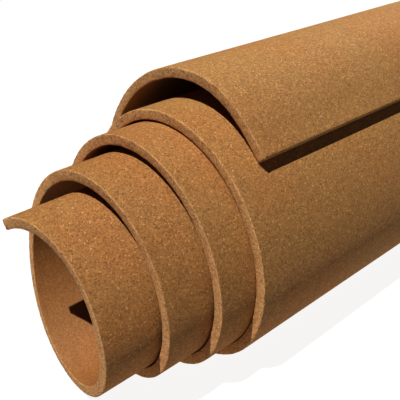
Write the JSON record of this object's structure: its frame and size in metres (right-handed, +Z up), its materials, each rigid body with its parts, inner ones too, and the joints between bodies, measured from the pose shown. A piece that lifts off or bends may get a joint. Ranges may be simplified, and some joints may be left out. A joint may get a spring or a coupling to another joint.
{
  "type": "cork underlayment roll",
  "caption": "Sheet of agglomerated cork underlayment wound into a loose roll, its turns stepped along the axis at each end",
  "frame": {"origin": "centre of the bounding box's underside, on the floor the roll lies on", "axes": "+X along the roll's axis, away from the open end whose inner turns stand out; -Y the front, where the free end of the sheet lies; +Z up"},
  "size_m": [1.4396, 0.3067, 0.3314],
  "materials": {
    "cork": "matt agglomerated granules"
  },
  "bodies": {
    "root": {"cork_sheet": "cork"}
  },
  "joints": []
}
